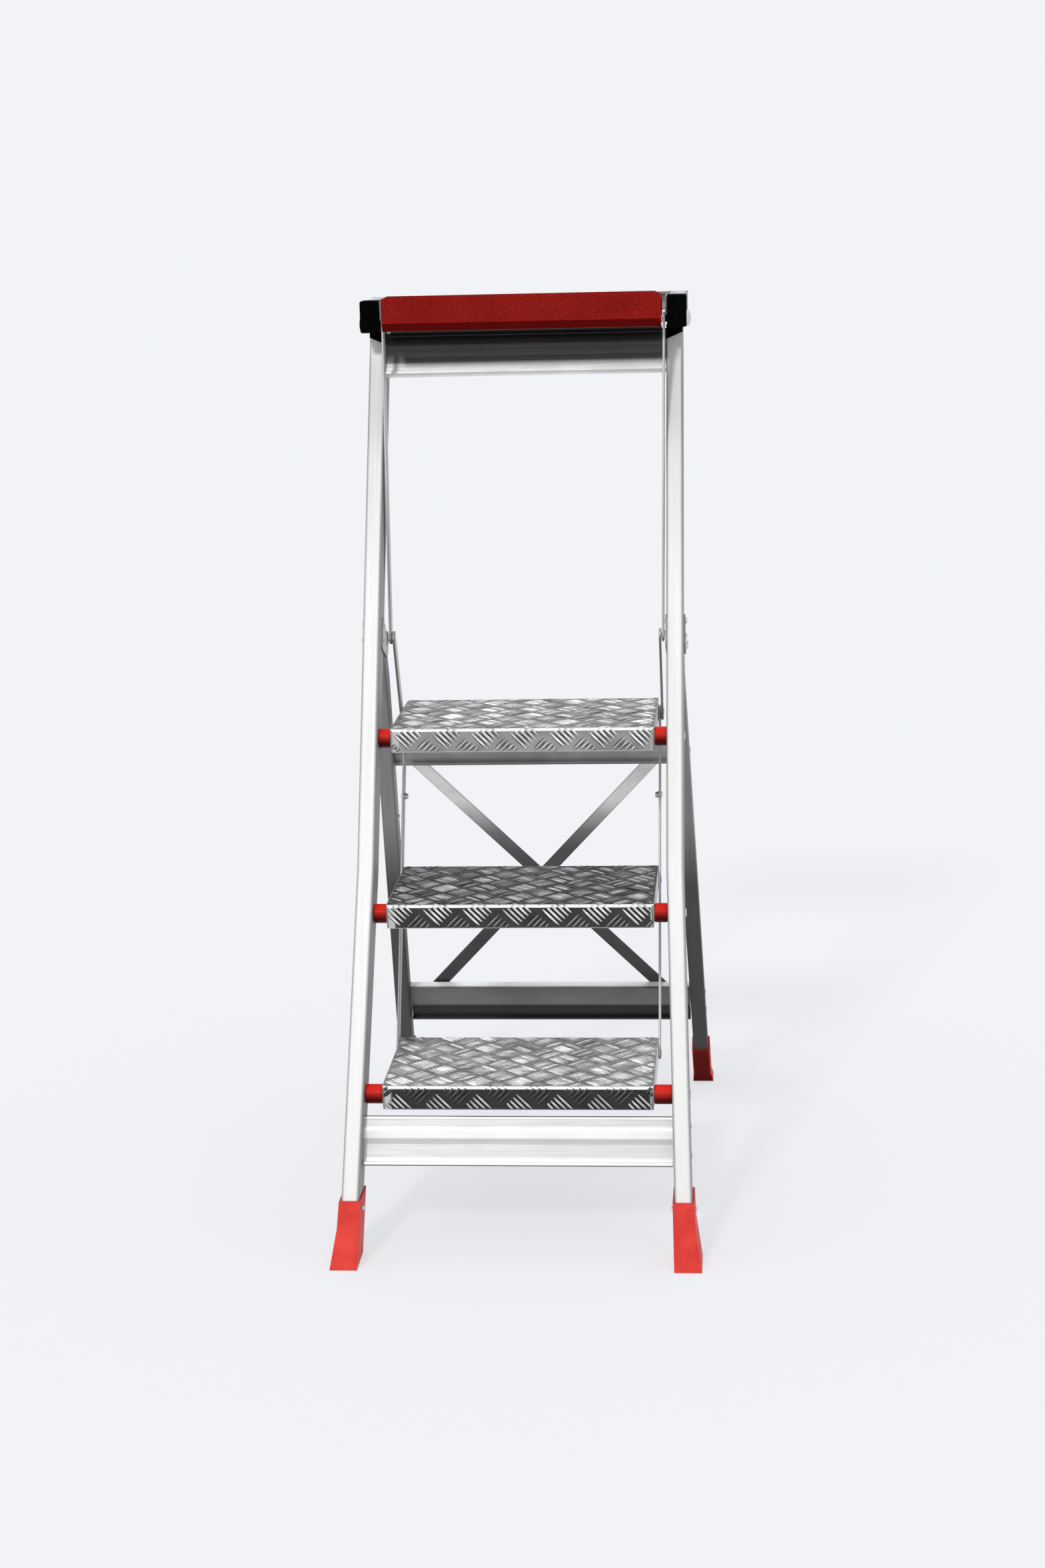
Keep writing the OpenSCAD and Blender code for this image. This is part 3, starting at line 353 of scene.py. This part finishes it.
def treadPlateMaterial(name, style, tones):
    # rolled plate between the raised bars, with painted highlights along its bends and rims and a lighter
    # painted tone on its sides
    material, tree = newMaterial(name)
    place = objectPlace(tree)
    smudge = noise(tree, place, *style["patch"])
    body = twoTone(tree, tones, smudge, style)
    front, up = facing(tree, (0, -1, 0)), mathNode(tree, "MAXIMUM", facing(tree, (0, 0, 1)), 0.0)
    aside = mathNode(tree, "ABSOLUTE", facing(tree, (1, 0, 0)))
    lipEnd = mathNode(tree, "MULTIPLY", fade(tree, front, style["lipSpan"]),
                      ramp(tree, placeWithin(tree, 0), style["lipEndStops"]))
    body = mixColour(tree, lipEnd, body, metalTone(style["lipEnd"]))
    # painted light: faces turned to the side take the lighter side tone
    body = mixColour(tree, fade(tree, aside, style["paintedSideSpan"]), body, metalTone(style["side"]))
    # painted highlight along the bends, where the top turns into the lip and down at the sides
    bend = mathNode(tree, "MULTIPLY", up, mathNode(tree, "MAXIMUM", front, 0.0))
    turned = mathNode(tree, "MAXIMUM", bend, mathNode(tree, "MULTIPLY", up, aside))
    body = mixColour(tree, fade(tree, turned, style["bendHighlightSpan"]), body, metalTone(style["bend"]))
    # painted highlight along the rims
    rimHighlight = edgeMask(tree, style["rimHighlightReach"], style["rimHighlightSpan"])
    body = mixColour(tree, rimHighlight, body, metalTone(style["bend"]))
    rough = mapRange(tree, smudge, noiseSpan, style["roughLow"], style["roughHigh"])
    finishMaterial(tree, body, rough, noise(tree, place, *style["grain"]), style)
    return material


def treadBarMaterial(name, style, tones, wearAndShade):
    # the raised bars, painted light and shade: crests lighter than the steep flanks, and bars of one lean lit,
    # the others shaded
    material, tree = newMaterial(name)
    place = objectPlace(tree)
    patch = noise(tree, place, *style["patch"])
    body = twoTone(tree, tones, patch, style, wearAndShade)
    rough = mapRange(tree, patch, noiseSpan, style["roughLow"], style["roughHigh"])
    finishMaterial(tree, body, rough, noise(tree, place, *style["grain"]), style)
    return material


mouldedRed = {
    "bright": (0.80, 0.046, 0.030), "deep": (0.62, 0.026, 0.018), "wearAndSheen": (0.95, 0.20, 0.15),
    "wearAndSheenShare": 0.35, "wearAndSheenSpan": (0.02, 0.25), "shade": (0.25, 0.006, 0.005), "shadeAxis": (0, 0, -1),
    "shadeSpan": (0.2, 0.6), "driftScale": 22, "driftSpan": (0.38, 0.68), "grainScale": 1500,
    "grainSpan": (0.35, 0.65), "mottle": 0.08, "roughLow": 0.42, "roughHigh": 0.58, "edgeRadius": 0.0012,
    "bumpStrength": 0.3, "bumpDepth": 0.00008, "metallic": 0.0, "gloss": 0.25, "ior": 1.46,
}
rearRed = dict(mouldedRed, wearAndSheen=(0.60, 0.06, 0.04), shade=(0.13, 0.003, 0.002), shadeAxis=(0, -1, 0),
               shadeSpan=(0.4, 0.8), gloss=0.12)
bushRed = dict(mouldedRed, bright=(0.88, 0.028, 0.016), deep=(0.78, 0.018, 0.010), wearAndSheen=(0.80, 0.08, 0.05),
               shade=(0.075, 0.0006, 0.0006), shadeSpan=(-0.80, 0.25), roughLow=0.30, roughHigh=0.42,
               gloss=0.12)
trayRed = dict(mouldedRed, bright=(0.250, 0.0085, 0.0060), deep=(0.200, 0.0060, 0.0045),
               wearAndSheen=(0.50, 0.035, 0.025), shade=(0.095, 0.0004, 0.0003), shadeSpan=(0.25, 0.4),
               grainScale=330, mottle=0.24, roughLow=0.55, roughHigh=0.70, edgeRadius=0.0016,
               bumpStrength=0.6, gloss=0.05)
capBlack = dict(mouldedRed, bright=(0.0010, 0.0010, 0.0011), deep=(0.0006, 0.0006, 0.0007),
                wearAndSheen=(0.012, 0.012, 0.013), shade=(0.0005, 0.0005, 0.0005), roughLow=0.55, roughHigh=0.72,
                bumpStrength=0.4, gloss=0.03)


def mouldedPlastic(name, style):
    # moulded plastic: fine spark grain, slow colour drift, paler edges that are partly rubbed wear and partly a
    # painted highlight
    material, tree = newMaterial(name)
    place = objectPlace(tree)
    grain = noise(tree, place, style["grainScale"], 2, 0.5)
    drift = noise(tree, place, style["driftScale"])
    body = mixColour(tree, fade(tree, drift, style["driftSpan"]), (*style["bright"], 1), (*style["deep"], 1))
    shaded = mapRange(tree, facing(tree, style["shadeAxis"]), style["shadeSpan"], 0.0, 1.0)
    body = mixColour(tree, shaded, body, (*style["shade"], 1))
    speck = mapRange(tree, grain, style["grainSpan"], 1.0 - style["mottle"], 1.0 + style["mottle"])
    body = scaledColour(tree, body, speck)
    # paler edges: partly rubbed wear, partly a painted highlight
    edge = edgeMask(tree, style["edgeRadius"], style["wearAndSheenSpan"])
    wearAndSheen = mathNode(tree, "MULTIPLY", edge, style["wearAndSheenShare"])
    body = mixColour(tree, wearAndSheen, body, (*style["wearAndSheen"], 1))
    rough = mapRange(tree, drift, noiseSpan, style["roughLow"], style["roughHigh"])
    finishMaterial(tree, body, rough, grain, style)
    return material


fastener = {
    "light": 0.80, "dull": 0.48, "patchScale": 260, "patchSpan": (0.4, 0.65), "edgeLineTone": 0.05,
    "edgeLineReach": 0.0009, "edgeLineAmount": 0.8, "roughLow": 0.20, "roughHigh": 0.38, "edgeRadius": 0.0006,
    "bumpStrength": 0.3, "bumpDepth": 0.00005, "metallic": 0.9, "gloss": 0.5, "ior": 1.5,
}


def platedSteel(name, style):
    # plated rivets, pins and bolts, dull in small patches
    material, tree = newMaterial(name)
    patch = noise(tree, objectPlace(tree), style["patchScale"])
    lightEnd, dullEnd = style["patchSpan"]
    body = toneRamp(tree, patch, [(lightEnd, style["light"]), (dullEnd, style["dull"])])
    body, metal = darkEdgeLines(tree, body, style)
    rough = mapRange(tree, patch, noiseSpan, style["roughLow"], style["roughHigh"])
    finishMaterial(tree, body, rough, patch, style, metal)
    return material


finishes = {
    "stile": sectionAluminium("stileAluminium", frontLean, drawnSection),
    "strip": sectionAluminium("stripAluminium", frontLean, flatStrip),
    "arm": sectionAluminium("armAluminium", math.radians(90), armSection),
    "rear": shadedRearAluminium("shadedRearAluminium", rearLean, rearSection),
    "lowBar": bandedAluminium("lowCrossbar", lowBar),
    "upperBar": bandedAluminium("upperCrossbar", upperBar),
    "rearLowBar": bandedAluminium("rearLowCrossbar", rearLowBar),
    "rearHighBar": bandedAluminium("rearHighCrossbar", rearHighBar),
    "brace": bandedAluminium("braceAluminium", braceBar),
    "foot": mouldedPlastic("footRed", mouldedRed),
    "rearFoot": mouldedPlastic("rearFootRed", rearRed),
    "bush": mouldedPlastic("bushRed", bushRed),
    "tray": mouldedPlastic("trayRed", trayRed),
    "black": mouldedPlastic("capBlack", capBlack),
    "steel": platedSteel("fastenerSteel", fastener),
}


def makeTreadFinishes(which):
    wearAndShade, tones = barWearAndShade[which], treadShadeTones[which]
    style = dict(treadFinish, metallic=wearAndShade["metallic"], gloss=wearAndShade["gloss"])
    finishes["tread_" + which] = treadPlateMaterial("treadPlate_" + which, style, tones["plate"])
    for part, partStyle in barFinishes.items():
        name = part + "_" + which
        finishes[name] = treadBarMaterial(name, dict(style, **partStyle), tones[part], wearAndShade)


for treadName in treadShadeTones:
    makeTreadFinishes(treadName)
print("finishes made:", len(finishes))

nodeFinish = {
    "stile": "stile", "front_crossbar_low": "lowBar", "front_crossbar_high": "upperBar",
    "frame_rivets": "steel", "front_foot_rivets": "steel", "front_foot": "foot",
    "rear_foot_rivets": "steel", "rear_foot": "rearFoot", "axle": "steel", "bushes": "bush",
    "tread_bottom": "tread_bottom", "tread_middle": "tread_middle", "tread_top": "tread_top",
    "link_pins": "steel", "link_bolts": "steel", "link": "strip", "hanger": "strip", "stay": "strip",
    "hinge_plate_rivets": "steel", "hinge_plate": "strip", "hinge_pins": "steel", "bracket_pins": "steel",
    "rear_leg": "rear", "leg_cap": "black", "rear_crossbar_low": "rearLowBar",
    "rear_crossbar_high": "rearHighBar", "brace": "brace", "rear_rivets": "steel",
    "corner_joint": "black", "arm_cap": "black", "arm": "arm", "side_strip": "arm", "rear_rail": "arm",
    "tool_tray": "tray", "tray_bolts": "steel", "bolt_spacers": "black",
}


def dressNodes():
    # the longest matching beginning of a node's name gives its finish
    for nodeName, piece in nodes.items():
        starts = [start for start in nodeFinish if nodeName.startswith(start)]
        piece.data.materials.clear()
        piece.data.materials.append(finishes[nodeFinish[max(starts, key=len)]])
    print("finishes on", len(nodes), "nodes")


dressNodes()


def addToScene(name, data):
    made = bpy.data.objects.new(name, data)
    bpy.context.scene.collection.objects.link(made)
    return made


def addPiece(name, points, faces):
    mesh = bpy.data.meshes.new(name)
    mesh.from_pydata(points, [], faces)
    mesh.update()
    return addToScene(name, mesh)


barPattern = {
    "repeat": 0.0535, "rowStep": 0.0240, "pitch": 0.0060, "count": 5, "length": 0.031, "shortest": 0.005,
    "width": 0.0058, "endWidth": 0.25, "crest": 0.52, "height": 0.0009, "sink": 0.00005, "stations": 6,
    "taperPower": 0.45, "bend": 0.005, "lipMargin": 0.0014, "rearLipLess": 0.006, "sideMargin": 0.0022,
    "sheetWidth": 0.40, "sheetFolds": 0.10, "spareRows": 2,
}
barStart = {"bottom": (-0.1596, -0.0276), "middle": (-0.1637, -0.0061), "top": (-0.1560, -0.0059)}


def onFoldedSheet(place, depth, bend):
    # from distance along the folded sheet to depth, height and outward normal
    arc, far = bend * math.pi / 2, depth - bend
    if place <= bend - arc:
        return 0.0, -bend + (place - (bend - arc)), (-1.0, 0.0)
    if place >= far + arc:
        return depth, -bend - (place - far - arc), (1.0, 0.0)
    if bend <= place <= far:
        return place, 0.0, (0.0, 1.0)
    edge, side = (bend, -1.0) if place < bend else (far, 1.0)
    angle = abs(place - edge) / bend
    normal = (side * math.sin(angle), math.cos(angle))
    return edge + bend * normal[0], -bend + bend * normal[1], normal


def clippedBar(centre, direction, limits, style):
    # shortens a bar to the sheet; None where too little is left
    low, high = -style["length"] / 2, style["length"] / 2
    for axis in (0, 1):
        ends = sorted((limit - centre[axis]) / direction[axis] for limit in limits[axis])
        low, high = max(low, ends[0]), min(high, ends[1])
    return (low, high) if high - low > style["shortest"] else None


def barGroups(start, depth, style):
    # groups of parallel bars, set like a chessboard and turned row by row; the bars of one lean are painted
    # lit, the others shaded
    step, rowStep, spare = style["repeat"] / 2, style["rowStep"], style["spareRows"]
    for row in range(-spare, int((depth + style["sheetFolds"]) / rowStep) + spare):
        lean = 1 if row % 2 else -1
        direction = (math.sqrt(0.5), lean * math.sqrt(0.5))
        for column in range(-spare, int(style["sheetWidth"] / step) + spare):
            if (row + column) % 2 == 0:
                yield (start[0] + column * step, start[1] + row * rowStep), direction, lean < 0


def addBar(points, faces, centre, direction, span, corner, depth, style):
    # one long raised bar over the sheet; gives the strip that each new face belongs to
    across = (-direction[1], direction[0])
    sides = (-1.0, -style["crest"], style["crest"], 1.0)
    start, stations, width = len(points), style["stations"], len(sides)
    for i in range(stations):
        along = i / (stations - 1)
        reach = span[0] + (span[1] - span[0]) * along
        taper = math.sin(math.pi * along) ** style["taperPower"] if 0 < i < stations - 1 else 0.0
        for side in sides:
            wide = side * style["width"] / 2 * (style["endWidth"] + (1 - style["endWidth"]) * taper)
            x = centre[0] + direction[0] * reach + across[0] * wide
            place = centre[1] + direction[1] * reach + across[1] * wide
            y, z, normal = onFoldedSheet(place, depth, style["bend"])
            raised = taper > 0.0 and abs(side) < 1.0
            lift = style["height"] * taper if raised else -style["sink"]
            points.append((x, corner[0] + y + normal[0] * lift, corner[1] + z + normal[1] * lift))
    strips = []
    for i in range(stations - 1):
        for strip in range(width - 1):
            a = start + i * width + strip
            faces.append((a, a + width, a + width + 1, a + 1))
            strips.append(strip)
    return strips


def raisedBars(which, start, style):
    # the bars of one tread, from its front lip over both bends to its rear lip
    low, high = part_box("tread_" + which)
    depth = high.y - low.y
    lipFront = (high.z - low.z) - style["lipMargin"]
    lipRear = lipFront - style["rearLipLess"]
    saved = style["bend"] * (2 - math.pi / 2)   # what a rounded bend saves on a square corner
    limits = ((low.x + style["sideMargin"], high.x - style["sideMargin"]),
              (-lipFront + saved, depth + lipRear - saved))
    points, faces, finishIndex = [], [], []
    for middle, direction, catchesLight in barGroups(start, depth, style):
        for k in range(style["count"]):
            offset = (k - (style["count"] - 1) / 2) * style["pitch"]
            centre = (middle[0] - direction[1] * offset, middle[1] + direction[0] * offset)
            span = clippedBar(centre, direction, limits, style)
            if span:
                strips = addBar(points, faces, centre, direction, span, (low.y, high.z), depth, style)
                # each face takes the lit or shaded copy by its bar's lean, and the crest or flank finish by its
                # strip
                finishIndex += [(0 if catchesLight else 2) + (0 if strip == 1 else 1) for strip in strips]
    piece = addPiece("tread_" + which + "_bars", points, faces)
    for part in barFinishes:
        piece.data.materials.append(finishes[part + "_" + which])
    for polygon, index in zip(piece.data.polygons, finishIndex):
        polygon.material_index = index
    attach(piece, "step_" + which)
    return len(faces)


def dressTreads():
    total = sum(raisedBars(which, start, barPattern) for which, start in barStart.items())
    print("raised bars:", total, "faces")


dressTreads()


trayRest = {
    "lapDown": 0.0030, "lapThick": 0.0016, "rise": 0.0050, "bulbHalf": 0.0017, "bulbStart": 200,
    "bulbTurn": 220, "bulbSteps": 8, "tuck": 0.0004, "cornerGap": 0.0002, "endInset": 0.006,
    "endRound": 0.004, "endShape": [(0.0, 0.55), (0.3, 0.85), (1.0, 1.0)],
}
# painted shade: the trim is darkest low down, where the shadow under the tray falls
trayShadowTrim = dict(upperBar, lightAndShadeBands=[(0.0, 0.010), (0.60, 0.012), (0.68, 0.14), (1.0, 0.20)], wander=0.06,
                  metallic=0.0, gloss=0.15)


def addTrayShadowTrim():
    # soft edge trim clipped over the upper crossbar, which the tray comes down on; its dark lap is painted
    # shade that stands in for the shadow under the tray
    low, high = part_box("front_crossbar_high")
    edge = max((vertex.co for vertex in nodes["front_crossbar_high"].data.vertices),
               key=lambda place: place.z)
    slope = math.tan(frontLean)
    down, thick, half, tuck, gap = (trayRest[key] for key in ("lapDown", "lapThick", "bulbHalf", "tuck",
                                                              "cornerGap"))
    section = [(-slope * down, -down), (-slope * down - thick, -down), (-thick, -tuck)]
    centre = (-half + tuck, trayRest["rise"] - half)
    for i in range(trayRest["bulbSteps"] + 1):
        angle = math.radians(trayRest["bulbStart"] - trayRest["bulbTurn"] * i / trayRest["bulbSteps"])
        section.append((centre[0] + half * math.cos(angle), centre[1] + half * math.sin(angle)))
    section.append((gap, gap))
    start, stop = low.x + trayRest["endInset"], high.x - trayRest["endInset"]
    soft, ends = trayRest["endRound"], trayRest["endShape"]
    stations = [(start + soft * part, grow) for part, grow in ends] + [(0.0, 1.0)]
    stations += [(stop - soft * part, grow) for part, grow in reversed(ends)]
    points = [(x, edge.y + y * grow, edge.z + (z * grow if z > 0 else z)) for x, grow in stations
              for y, z in section]
    size = len(section)
    faces = [tuple(reversed(range(size))), tuple(range(len(points) - size, len(points)))]
    for i in range(len(stations) - 1):
        for j in range(size):
            a, b = i * size + j, i * size + (j + 1) % size
            faces.append((a, b, b + size, a + size))
    trim = addPiece("tray_shadow_trim", points, faces)
    trim.data.materials.append(bandedAluminium("trayShadowTrim", trayShadowTrim))
    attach(trim, "front_frame")
    print("tray rest trim added")


addTrayShadowTrim()


studio = {
    "background": (0.880, 0.896, 0.930), "floorColour": (0.985, 0.987, 0.996), "floorGlow": 0.68,
    "floorReach": 60.0, "floorDrop": 0.0004, "skyFill": 0.74, "skyColour": (0.945, 0.965, 1.0),
    "sunStrength": 1.0, "sunSoftness": math.radians(8),
    "sunTurn": (math.radians(52), 0.0, math.radians(-18)),
}


def seenRays(tree):
    # what the camera sees, itself or through gloss and glass
    ray = addNode(tree, "ShaderNodeLightPath")
    seen = mathNode(tree, "ADD", ray.outputs["Is Camera Ray"], ray.outputs["Is Glossy Ray"])
    return mathNode(tree, "ADD", seen, ray.outputs["Is Transmission Ray"], clamp=True)


def paleFloor():
    # the floor glows a little towards the camera, and still shows the object's shadow
    material, tree = newMaterial("paleFloor")
    lit = addNode(tree, "ShaderNodeBsdfDiffuse", {"Color": (*studio["floorColour"], 1)})
    glow = addNode(tree, "ShaderNodeEmission", {0: (*studio["background"], 1), 1: 1.0})
    share = mathNode(tree, "MULTIPLY", seenRays(tree), studio["floorGlow"])
    mixed = addNode(tree, "ShaderNodeMixShader", {0: share, 1: lit.outputs[0], 2: glow.outputs[0]})
    addNode(tree, "ShaderNodeOutputMaterial", {0: mixed.outputs[0]})
    reach = studio["floorReach"]
    floor = addPiece("floor", [(-reach, -reach, 0), (reach, -reach, 0), (reach, reach, 0), (-reach, reach, 0)],
                     [(0, 1, 2, 3)])
    floor.data.materials.append(material)
    floor.location.z = -studio["floorDrop"]


def paleWorld():
    world = bpy.data.worlds.new("studioWorld")
    bpy.context.scene.world = world
    world.use_nodes = True
    tree = world.node_tree
    tree.nodes.clear()
    fill = addNode(tree, "ShaderNodeBackground", {0: (*studio["skyColour"], 1), 1: studio["skyFill"]})
    back = addNode(tree, "ShaderNodeBackground", {0: (*studio["background"], 1), 1: 1.0})
    mixed = addNode(tree, "ShaderNodeMixShader", {0: seenRays(tree), 1: fill.outputs[0],
                                                  2: back.outputs[0]})
    addNode(tree, "ShaderNodeOutputWorld", {0: mixed.outputs[0]})


def softSun():
    data = bpy.data.lights.new("softSun", "SUN")
    data.energy = studio["sunStrength"]
    data.angle = studio["sunSoftness"]
    addToScene("softSun", data).rotation_euler = studio["sunTurn"]


cameraView = {
    "place": (0.306906, -3.745675, 1.389309), "yaw": -0.083885, "pitch": 0.217755, "roll": 0.025065,
    "lens": 63.349, "sensor": 36.0, "clipEnd": 200,
}


def placeCamera():
    data = bpy.data.cameras.new("camera")
    data.sensor_fit = "VERTICAL"
    data.sensor_height = cameraView["sensor"]
    data.lens = cameraView["lens"]
    data.clip_end = cameraView["clipEnd"]
    yaw, pitch, roll = cameraView["yaw"], cameraView["pitch"], cameraView["roll"]
    forward = Vector((math.sin(yaw) * math.cos(pitch), math.cos(yaw) * math.cos(pitch), -math.sin(pitch)))
    level = Vector((math.cos(yaw), -math.sin(yaw), 0))
    down = forward.cross(level)
    right = level * math.cos(roll) + down * math.sin(roll)
    below = down * math.cos(roll) - level * math.sin(roll)
    turn = Matrix((right, -below, -forward)).transposed().to_4x4()
    camera = addToScene("camera", data)
    camera.matrix_world = Matrix.Translation(cameraView["place"]) @ turn
    bpy.context.scene.camera = camera


paleFloor()
paleWorld()
softSun()
placeCamera()
bpy.context.scene.view_settings.view_transform = "Standard"
print("studio ready")
